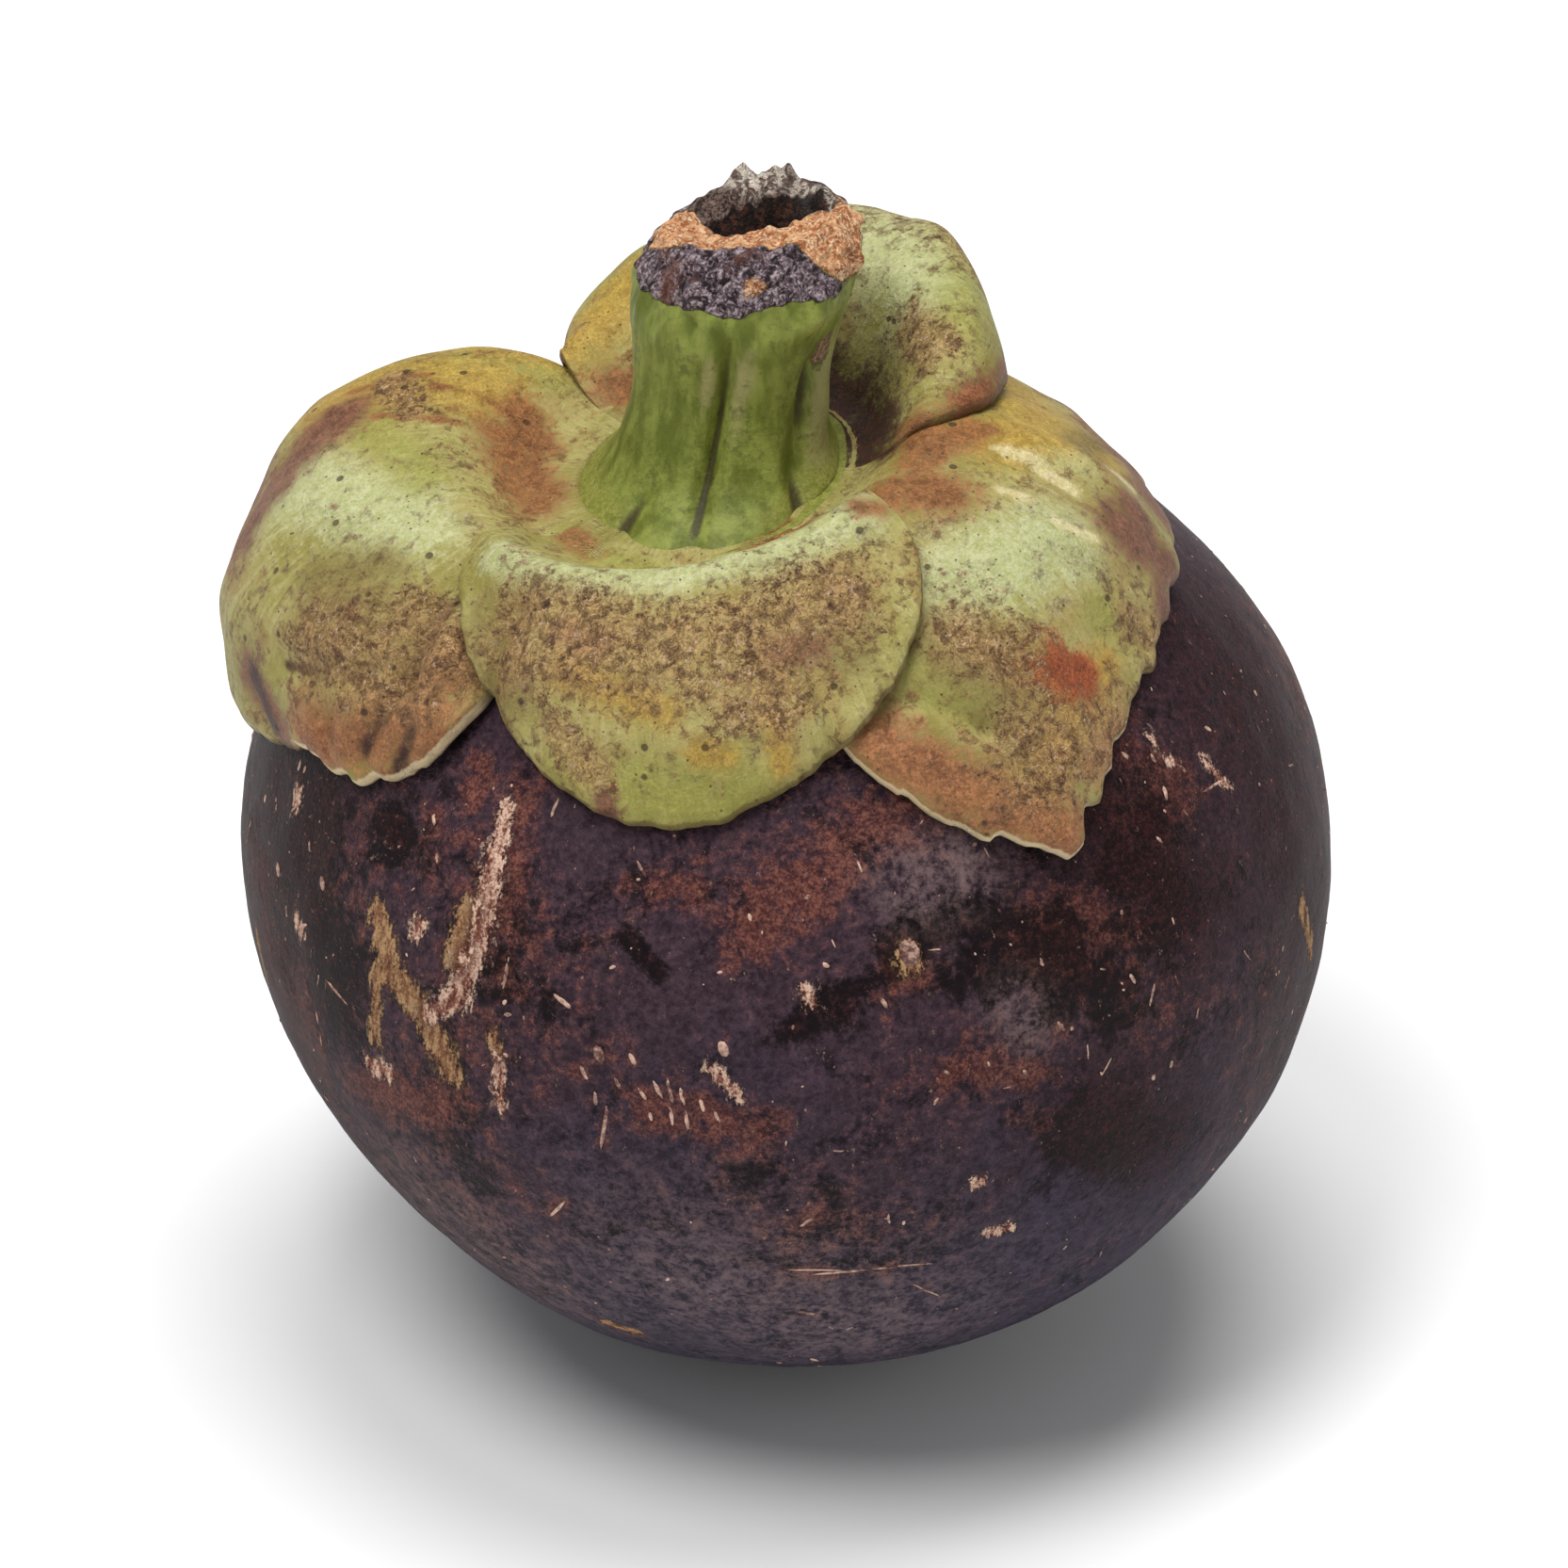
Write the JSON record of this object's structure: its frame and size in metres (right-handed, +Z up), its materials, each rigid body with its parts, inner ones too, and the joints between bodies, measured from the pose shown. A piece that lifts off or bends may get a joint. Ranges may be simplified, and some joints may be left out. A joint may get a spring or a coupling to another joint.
{
  "type": "mangosteen",
  "caption": "Whole round mangosteen with a dark leathery rind, a ring of cupped green calyx lobes, a short thick stem and a woody stigma rosette it stands on.",
  "frame": {"origin": "middle of the flat underside of the stigma rosette, where the fruit stands", "axes": "+Z up through the fruit towards the stem, -Y the front, where the calyx lobe that lies over its neighbours shows"},
  "size_m": [0.0612, 0.0596, 0.0694],
  "materials": {
    "rind_skin": "smooth, softly shiny dark purple skin with corky scars",
    "calyx_leather": "leathery pale green, flushed russet, matt",
    "stem_green": "green bark with a corky broken end, matt",
    "rosette_cork": "dark brown, woody, matt"
  },
  "bodies": {
    "root": {"rind": "rind_skin", "calyx_lobe_left": "calyx_leather", "calyx_lobe_right": "calyx_leather", "calyx_lobe_front": "calyx_leather", "calyx_lobe_back": "calyx_leather", "stem": "stem_green", "stigma_rosette": "rosette_cork"}
  },
  "joints": []
}
